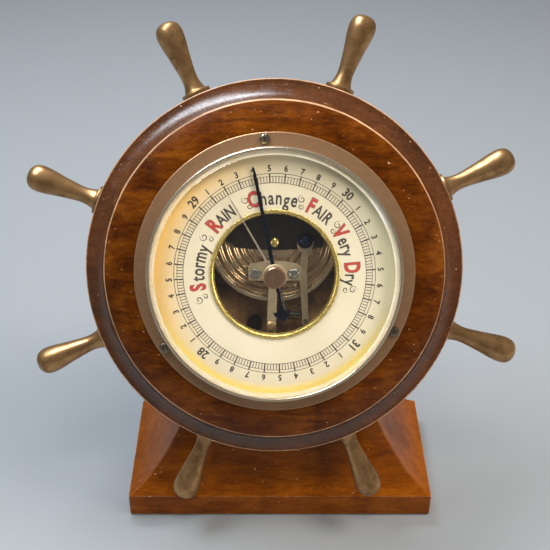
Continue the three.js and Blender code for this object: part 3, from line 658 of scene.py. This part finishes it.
def screw_head(name, place, radius, seat, height, slot_turn, slot_width=0.66):
    """A slotted, domed screw head. Returns the object, still to be bound to its CAD node."""
    made = bmesh.new()
    profile = softened([
        (0, seat, 0), (radius, seat), (radius, seat + height * 0.55), (radius * 0.7, seat + height * 0.94),
        (0, seat + height),
    ], 0.18, 3, closed=False)
    turned(made, profile, 48, False)
    head = add_object(name, to_mesh(name, made, 40), "screw_metal")
    cutter = bmesh.new()
    bmesh.ops.create_cube(cutter, size=1.0)
    bmesh.ops.scale(cutter, vec=(radius * 2.4, slot_width, height), verts=cutter.verts)
    bmesh.ops.translate(cutter, vec=(0, 0, seat + height * 1.05), verts=cutter.verts)
    turn = Matrix.Rotation(math.radians(slot_turn), 3, "Z")
    bmesh.ops.rotate(cutter, cent=(0, 0, 0), matrix=turn, verts=cutter.verts)
    tool = add_object("slot_cutter", to_mesh("slot_cutter", cutter), "screw_metal")
    cut = head.modifiers.new("slot", "BOOLEAN")
    cut.operation, cut.solver, cut.object = "DIFFERENCE", "EXACT", tool
    graph = bpy.context.evaluated_depsgraph_get()
    result = bpy.data.meshes.new_from_object(head.evaluated_get(graph))
    head.modifiers.clear()
    head.data = result
    head.data.transform(Matrix.Translation((place[0] * MM, place[1] * MM, 0)))
    bpy.data.objects.remove(tool)
    return head


for k in range(3):
    place = clock_point(120 * k - 4.2, SCREW_CIRCLE)
    screw = screw_head(f"flange_screw_{k + 1}", place, 1.95, 30.9, 1.15, 90 + 8 * k)
    stands_for(screw, [f"bezel_screw_{k + 1}"])

stands_for(lathe("set_bush_fine", [
    (1.4, 37.2), (4.6, 37.2), (4.6, 37.6, 0.2), (4.2, 37.9, 0.2), (1.4, 37.9),
], "olive_brass", 96, soft=0.1), ["set_bush"])
stands_for(lathe("set_knob_fine", [
    (0, 34.1, 0), (1.1, 34.1), (1.1, 38.2, 0), (3.7, 38.2), (4.1, 38.7, 0.3), (4.1, 40.9, 0.3),
    (3.6, 41.5, 0.35), (3.2, 41.45, 0.2), (0, 41.3, 0),
], "copper", 128, soft=0.2, closed=False), ["set_knob"], "setting_hand")


# ---------------------------------------------------------------- hands

def flat_hand(name, outline, boss, hole, low, high, angle, material, ridge):
    """A thin hand with a boss; ridge lifts its middle line so that it catches the light."""
    made = bmesh.new()
    length = len(outline)
    under = [made.verts.new((x, y, low)) for x, y in outline]
    over = [made.verts.new((x, y, high)) for x, y in outline]
    made.faces.new(list(reversed(under)))
    top = made.faces.new(over)
    for k in range(length):
        j = (k + 1) % length
        made.faces.new([under[k], under[j], over[j], over[k]])
    bmesh.ops.inset_individual(made, faces=[top], thickness=0.12)
    bmesh.ops.translate(made, vec=(0, 0, ridge), verts=list(top.verts))
    boss_top = high + 0.15
    turned(made, softened([(hole, low), (boss, low), (boss, boss_top), (hole, boss_top)], 0.1), 64)
    turn = Matrix.Rotation(math.radians(-angle), 3, "Z")
    bmesh.ops.rotate(made, cent=(0, 0, 0), matrix=turn, verts=made.verts)
    return add_object(name, to_mesh(name, made, 30), material)


def pointer_outline():
    """A slim blade with a thin tail that ends in an anchor-shaped counterweight."""
    length, tail = POINTER["length"], POINTER["tail"]
    blade = [(0.85, 0), (0.74, length * 0.45), (0.6, length * 0.8), (0.5, length * 0.93),
             (0.28, length * 0.985)]
    anchor = [
        (0.45, -tail + 5.6), (0.85, -tail + 4.6), (1.7, -tail + 3.9), (2.7, -tail + 3.8), (3.35, -tail + 4.2),
        (3.1, -tail + 2.9), (2.2, -tail + 1.7), (1.1, -tail + 0.8),
    ]
    return (blade + [(0, length)] + [(-x, y) for x, y in reversed(blade)] + [(-x, y) for x, y in anchor]
            + [(0, -tail)] + anchor[::-1])


HAND_RIDGE = 0.06

pointer = flat_hand("pointer_fine", pointer_outline(), 2.1, 0.9, 32.4, 32.75, POINTER["angle"],
                    "blued_steel", HAND_RIDGE)
stands_for(pointer, ["pointer"], "pointer_arbor")

reach = SET_HAND["length"]
set_side = [(0.55, -1.5), (0.36, reach * 0.2), (0.27, reach * 0.6), (0.22, reach * 0.88)]
set_outline = set_side + [(0, reach)] + [(-x, y) for x, y in reversed(set_side)]
set_hand = flat_hand("set_hand_fine", set_outline, 1.6, 1.12, 33.4, 33.72, SET_HAND["angle"],
                     "set_brass", HAND_RIDGE)
stands_for(set_hand, ["set_hand"], "setting_hand")

# ---------------------------------------------------------------- dial print

PRINT_LEVEL = DIAL_TOP + 0.03


def arc_band(made, inner, outer, start, end, steps):
    """A flat piece of a ring between two clock angles, at the print's level."""
    rings = []
    for k in range(steps + 1):
        angle = start + (end - start) * k / steps
        rings.append([made.verts.new((*clock_point(angle, r), PRINT_LEVEL)) for r in (inner, outer)])
    for low, high in zip(rings, rings[1:]):
        made.faces.new([low[0], high[0], high[1], low[1]])


def tick(made, angle, inner, outer, width):
    across = Vector(clock_point(angle + 90, width / 2))
    ends = [Vector(clock_point(angle, r)) for r in (inner, outer)]
    corners = [ends[0] - across, ends[0] + across, ends[1] + across, ends[1] - across]
    made.faces.new([made.verts.new((*corner, PRINT_LEVEL)) for corner in corners])


def lettering(made, text, size, angle, radius, bold, squeeze, lift=0.0):
    """Letters laid flat on the dial, upright at a clock angle."""
    curve = bpy.data.curves.new("letters", "FONT")
    curve.body = text
    curve.size = size
    curve.offset = bold
    curve.align_x = "CENTER"
    curve.align_y = "CENTER"
    curve.resolution_u = 3
    holder = bpy.data.objects.new("letters", curve)
    bpy.context.scene.collection.objects.link(holder)
    bpy.context.view_layer.update()
    graph = bpy.context.evaluated_depsgraph_get()
    mesh = bpy.data.meshes.new_from_object(holder.evaluated_get(graph))
    place = (Matrix.Translation((*clock_point(angle, radius), PRINT_LEVEL + lift))
             @ Matrix.Rotation(math.radians(-angle), 4, "Z") @ Matrix.Diagonal((squeeze, 1, 1, 1)))
    mesh.transform(place)
    made.from_mesh(mesh)
    bpy.data.objects.remove(holder)
    bpy.data.curves.remove(curve)
    bpy.data.meshes.remove(mesh)


def finish_print(name, made, material):
    """Print is left as open flat faces, all facing out of the dial."""
    for face in made.faces:
        face.normal_update()
        if face.normal.z < 0:
            face.normal_flip()
    mesh = bpy.data.meshes.new(name)
    made.to_mesh(mesh)
    made.free()
    mesh.transform(Matrix.Scale(MM, 4))
    stands_for(add_object(name, mesh, material), [])


SCALE = {"outer": 37.7, "middle": 36.6, "inner": 34.3}
INCHES = {"size": 4.5, "radius": 40.2, "bold": 0.13, "squeeze": 0.90}
TENTHS = {"size": 3.1, "radius": 39.5, "bold": 0.10, "squeeze": 0.92}
DEGREES_PER_TENTH = 9.0
TOP_READING = 29.5

black = bmesh.new()
red = bmesh.new()
for radius, width in ((SCALE["outer"], 0.22), (SCALE["middle"], 0.18), (SCALE["inner"], 0.22)):
    arc_band(black, radius - width / 2, radius + width / 2, 0, 360, 240)
for step in range(200):
    angle = step * DEGREES_PER_TENTH / 5 - DIAL_CLOCK
    if step % 5 == 0:
        tick(black, angle, SCALE["inner"] - 0.1, SCALE["outer"], 0.5)
    else:
        tick(black, angle, SCALE["inner"], SCALE["middle"], 0.26)

for tenth in range(-20, 20):
    reading = round(TOP_READING * 10) + tenth
    angle = tenth * DEGREES_PER_TENTH - DIAL_CLOCK
    if reading % 10 == 0:
        lettering(black, str(reading // 10), angle=angle, **INCHES)
    else:
        lettering(black, str(reading % 10), angle=angle, **TENTHS)

# the usual weather legends, each with its middle in clock degrees and the size of its small letters
WORDS = [("Stormy", -82.5, 7.2), ("RAIN", -40.5, 6.3), ("Change", 1.5, 7.2), ("FAIR", 38.0, 6.3),
         ("Very Dry", 78.5, 7.0)]
WORD_RADIUS = 28.9
INITIAL_SIZE = 8.0
LETTER_SQUEEZE = 0.72
LETTER_WIDTH = {
    "S": 0.62, "t": 0.40, "o": 0.56, "r": 0.42, "m": 0.80, "y": 0.50, "R": 0.64, "A": 0.64, "I": 0.30,
    "N": 0.70, "C": 0.66, "h": 0.55, "a": 0.54, "n": 0.56, "g": 0.56, "e": 0.54, "F": 0.58, "V": 0.62,
    "D": 0.68, " ": 0.42,
}


def word_on_dial(text, middle, size):
    """A legend set letter by letter round the dial, its initials red, edged in black and larger."""
    radius = WORD_RADIUS
    initials = [i == 0 or text[i - 1] == " " for i in range(len(text))]
    widths = [size * 0.74 * LETTER_WIDTH[letter] * (1.3 if first else 1.0)
              for letter, first in zip(text, initials)]
    along = -sum(widths) / 2
    for letter, width, first in zip(text, widths, initials):
        angle = middle + math.degrees((along + width / 2) / radius) - DIAL_CLOCK
        along += width
        if letter == " ":
            continue
        drop = 0.45 if letter in "yg" else 0.0
        if first:
            lettering(black, letter, INITIAL_SIZE, angle, radius, 0.36, LETTER_SQUEEZE)
            lettering(red, letter, INITIAL_SIZE, angle, radius, 0.19, LETTER_SQUEEZE, 0.02)
        else:
            lettering(black, letter, size, angle, radius - drop - 0.3, 0.16, LETTER_SQUEEZE)


def scroll(made, angle, radius, size, hand):
    """A small plain curl, drawn as a tapering spiral line."""
    centre = Vector(clock_point(angle, radius))
    rows = []
    for k in range(33):
        t = k / 32
        turn = math.radians(90 - angle) + hand * (0.3 + t * 8.6)
        middle = size * (1 - t) ** 0.75
        width = 0.05 + 0.13 * math.sin(math.pi * min(1.0, t * 1.1))
        direction = Vector((math.cos(turn), math.sin(turn)))
        edges = [centre + direction * (middle + side * width) for side in (-1, 1)]
        rows.append([made.verts.new((*edge, PRINT_LEVEL)) for edge in edges])
    for low, high in zip(rows, rows[1:]):
        made.faces.new([low[0], high[0], high[1], low[1]])


for text, middle, size in WORDS:
    word_on_dial(text, middle, size)
for angle in (-106, -59, -18.5, 22.5, 54.5, 104):
    scroll(black, angle - DIAL_CLOCK, 30.0, 1.5, 1)
    scroll(black, angle - DIAL_CLOCK + 1.2, 27.3, 1.1, -1)

finish_print("dial_print_black", black, "dial_ink")
finish_print("dial_print_red", red, "dial_red")

# ---------------------------------------------------------------- movement

def corrugated_profile():
    """The capsule's upper sheet: a flat middle, then rounded waves out to a flat rim."""
    flat, end, waves = CAPSULE["flat"], CAPSULE["radius"] - 1.5, CAPSULE["waves"]
    rim, top = CAPSULE["radius"], CAPSULE["top"]
    points = [(0, top), (flat - 0.6, top)]
    for k in range(1, 97):
        radius = flat + (end - flat) * k / 96
        swing = 0.5 - 0.5 * math.cos(2 * math.pi * waves * (radius - flat) / (end - flat))
        points.append((radius, top - CAPSULE["depth"] * swing ** 0.85))
    points += [(rim - 0.3, top - 0.1), (rim - 0.05, top - 0.6), (rim, CAPSULE["seam"] + 0.3)]
    under = [(radius, height - CAPSULE["sheet"]) for radius, height in reversed(points)]
    return points + under


stands_for(lathe("capsule_fine", corrugated_profile(), "capsule_brass", 160, closed=False,
                 placing=Matrix.Translation((0, CAPSULE["v"], 0)), sharp=50),
           ["capsule_upper"], "spring_lever")

lever_end = Matrix.Translation((12.4, 11.6, 0))
stands_for(lathe("lever_screw_fine", [
    (0, 15.8, 0), (1.0, 15.8, 0), (1.0, 17.9, 0), (2.9, 17.9), (2.9, 18.6), (2.5, 19.2), (1.6, 19.8),
    (0, 20.05, 0),
], "blued_bright", 64, soft=0.3, closed=False, placing=lever_end),
    ["lever_screw"], "spring_lever")
stands_for(lathe("stud_fine", [
    (0, 14.7, 0), (2.6, 14.7), (2.6, 15.4), (1.2, 15.4), (1.2, 16.8), (1.8, 16.8), (1.8, 18.4, 0.5),
    (0, 18.9, 0),
], "gilt", 64, soft=0.15, closed=False, placing=Matrix.Translation((0, CAPSULE["v"], 0))),
    ["capsule_stud"], "spring_lever")

for side, name in ((-1, "l"), (1, "r")):
    pillar = Matrix.Translation((side * 8.1, -0.6, 0))
    stands_for(lathe(f"bridge_head_{name}", [
        (0, 23.3, 0), (2.25, 23.3), (2.25, 23.9), (2.05, 24.5), (1.6, 24.75), (1.2, 24.6), (0, 24.5),
    ], "steel", 64, soft=0.2, closed=False, placing=pillar), [f"bridge_screw_{name}"])
    stands_for(lathe(f"bridge_pillar_{name}", [
        (0, 15.4, 0), (1.0, 15.4), (1.0, 16.5), (1.7, 16.5), (1.7, 21.6), (1.0, 21.6), (1.0, 23.3),
        (0, 23.3, 0),
    ], "steel", 48, soft=0.1, closed=False, placing=pillar), [])

# ---------------------------------------------------------------- materials on the CAD pieces

SLOT_OF = {part["node"]: part["material_slot"] for part in frame["record"]["subparts"]}
# every slot has a material of its own name, but these pieces differ from their slot's usual look
OWN_FINISH = {"bridge_plate": "olive_brass", "arbor_cock": "olive_brass", "lever_arm": "olive_brass",
              "base_plate": "base_varnish", "capsule_lower": "capsule_brass"}
for node, obj in frame["nodes"].items():
    finish = MATERIALS[OWN_FINISH.get(node, SLOT_OF[node])]
    obj.data.materials.clear()
    obj.data.materials.append(finish)

# ---------------------------------------------------------------- stage, light and camera

def stage_material(name, colour):
    g = Graph(name)
    cloud = g.noise(3, 2, 0.5)
    base = g.mix(g.level(cloud, 0.3, 0.7, 0, 0.25), colour, tuple(c * 0.94 for c in colour))
    return g.set(Base_Color=base, Roughness=0.85)


def stage_sheet(name, corners, colour):
    mesh = bpy.data.meshes.new(name)
    mesh.from_pydata(corners, [], [(0, 1, 2, 3)])
    MATERIALS[name] = stage_material(name, colour)
    add_object(name, mesh, name, Matrix.Identity(4))


stage_sheet("floor", [(-2, -2, 0), (2, -2, 0), (2, 2, 0), (-2, 2, 0)], (0.205, 0.217, 0.232))


def area_light(name, place, size, power, colour, mirrored=False):
    """A soft lamp aimed at the wheel. Unless mirrored, it lights the varnish and glass without haze."""
    data = bpy.data.lights.new(name, "AREA")
    data.shape = "RECTANGLE"
    data.size, data.size_y = size
    data.energy = power
    data.color = colour
    lamp = bpy.data.objects.new(name, data)
    lamp.visible_glossy = mirrored
    bpy.context.scene.collection.objects.link(lamp)
    lamp.location = place
    lamp.rotation_mode = "QUATERNION"
    lamp.rotation_quaternion = (CENTRE - Vector(place)).to_track_quat("-Z", "Y")


area_light("window", (-0.28, 0.17, 0.80), (0.75, 0.26), 12.5, (0.84, 0.92, 1.0), mirrored=True)
area_light("ceiling", (0.52, -0.10, 0.85), (0.32, 0.32), 8.0, (1.0, 0.92, 0.80))
area_light("room", (0.06, -0.34, 0.95), (0.40, 0.26), 4.6, (1.0, 0.93, 0.82))
area_light("fill_right", (0.78, -0.52, 0.38), (0.45, 0.45), 4.6, (1.0, 0.93, 0.82))
area_light("fill_left", (-0.78, -0.52, 0.36), (0.45, 0.45), 1.6, (1.0, 0.95, 0.88))

world = bpy.data.worlds.new("studio")
bpy.context.scene.world = world
world.use_nodes = True
sky = world.node_tree.nodes["Background"]
sky.inputs["Color"].default_value = (0.86, 0.87, 0.88, 1)
sky.inputs["Strength"].default_value = 0.16

SENSOR = 36               # mm
CAMERA = {"place": (-4.994, -339.05, 335.97), "pitch": 34.386, "yaw": 0.431, "roll": 0.316,
          "focal": 1.8836}      # focal length in sensor widths


def make_camera():
    pitch, yaw, roll = (math.radians(CAMERA[key]) for key in ("pitch", "yaw", "roll"))
    forward = Vector((math.sin(yaw) * math.cos(pitch), math.cos(yaw) * math.cos(pitch), -math.sin(pitch)))
    right = Vector((math.cos(yaw), -math.sin(yaw), 0))
    up = right.cross(forward)
    right, up = (right * math.cos(roll) + up * math.sin(roll), up * math.cos(roll) - right * math.sin(roll))
    data = bpy.data.cameras.new("camera")
    data.sensor_width = SENSOR
    data.lens = SENSOR * CAMERA["focal"]
    data.clip_start, data.clip_end = 0.01, 20
    camera = bpy.data.objects.new("camera", data)
    bpy.context.scene.collection.objects.link(camera)
    place = Matrix((right, up, -forward)).transposed().to_4x4()
    place.translation = Vector(CAMERA["place"]) * MM
    camera.matrix_world = place
    bpy.context.scene.camera = camera


make_camera()
bpy.context.scene.view_settings.view_transform = "Standard"
